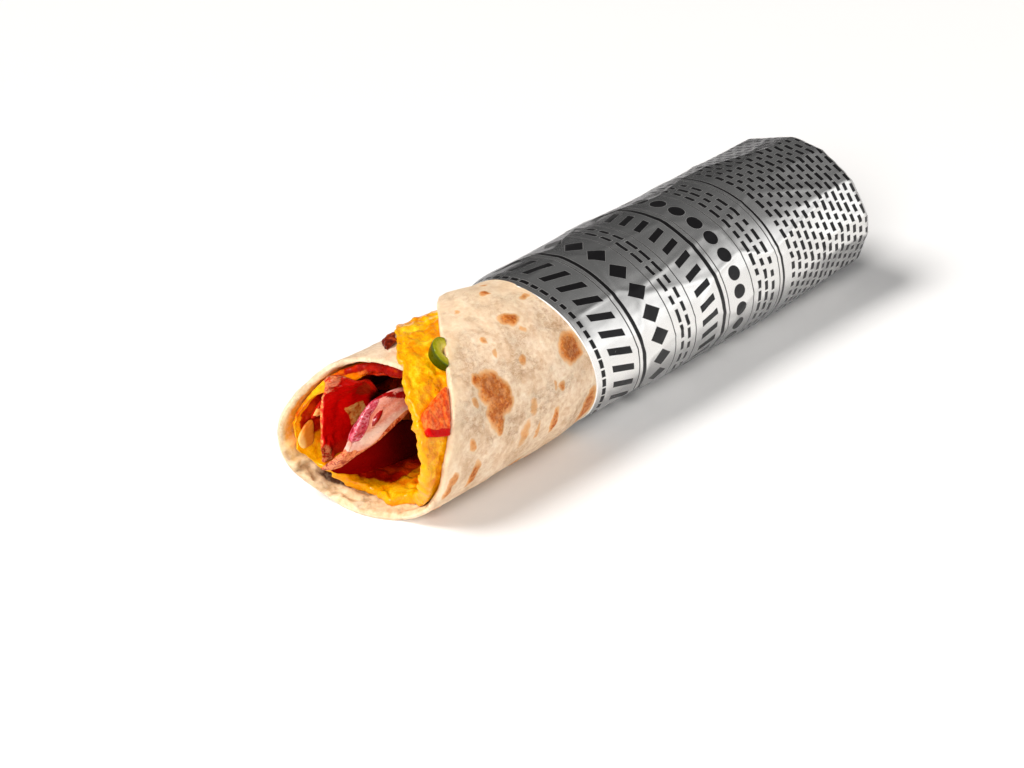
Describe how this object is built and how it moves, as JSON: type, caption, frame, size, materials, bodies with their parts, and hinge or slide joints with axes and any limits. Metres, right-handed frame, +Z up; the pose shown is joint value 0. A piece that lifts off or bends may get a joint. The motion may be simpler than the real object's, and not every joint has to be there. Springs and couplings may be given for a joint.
{
  "type": "bacon and egg wrap",
  "caption": "Flour tortilla rolled round omelette and streaky bacon with tomato, chilli and onion, half in a printed foil sleeve closed at the far end.",
  "frame": {"origin": "middle of the wrap's footprint, on the surface it lies on", "axes": "+Y along the roll from the open mouth to the sleeve's closed end, +Z up, +X to the right looking into the mouth"},
  "size_m": [0.052, 0.2128, 0.0512],
  "materials": {
    "tortilla": "matt, floury, with toasted spots",
    "egg": "moist omelette",
    "bacon_lining": "greasy lean",
    "bacon_left": "greasy lean with a pale edge",
    "bacon_leaf": "streaky, fat and lean",
    "bacon_fold": "greasy lean",
    "bacon_crisp": "crisp, browned",
    "onion": "cooked, moist",
    "tomato": "wet flesh and skin",
    "chilli": "wet skin",
    "foil_sleeve": "creased foil with black print"
  },
  "bodies": {
    "root": {"tortilla": "tortilla", "egg": "egg", "bacon_lining": "bacon_lining", "bacon_left": "bacon_left", "bacon_leaf": "bacon_leaf", "bacon_fold": "bacon_fold", "bacon_crisp": "bacon_crisp", "onion": "onion", "tomato": "tomato", "chilli": "chilli", "foil_sleeve": "foil_sleeve"}
  },
  "joints": []
}
